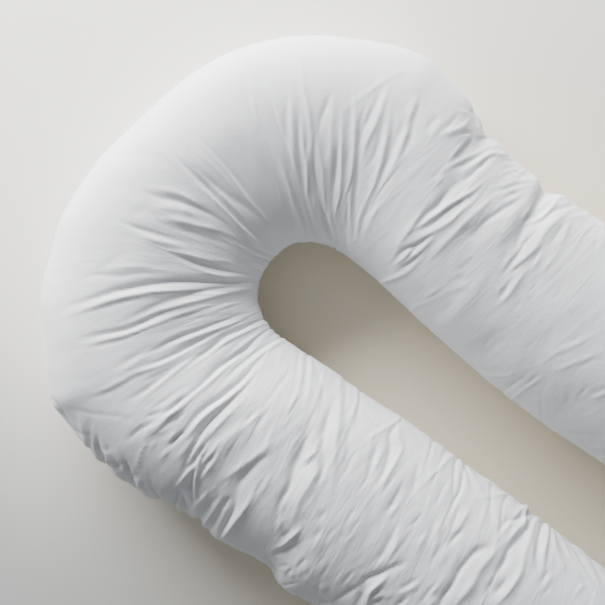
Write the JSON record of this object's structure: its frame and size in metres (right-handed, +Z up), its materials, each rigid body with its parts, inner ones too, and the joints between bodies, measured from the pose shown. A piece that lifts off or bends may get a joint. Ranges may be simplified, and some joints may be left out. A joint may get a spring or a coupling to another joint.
{
  "type": "body pillow",
  "caption": "U-shaped filled body pillow in plain white cotton, lying flat, with folds fanning out of its half-round bend.",
  "frame": {"origin": "bottom centre of the bounding box, on the floor under the gap between the two legs", "axes": "+Y along the legs towards the half-round bend, +X towards the leg with the deep shoulder hollow, +Z up out of the crowned top panel"},
  "size_m": [0.8066, 1.4532, 0.1992],
  "materials": {
    "case_cotton": "matt plain-weave white cotton, lightly creased"
  },
  "bodies": {
    "root": {"pillow": "case_cotton"}
  },
  "joints": []
}
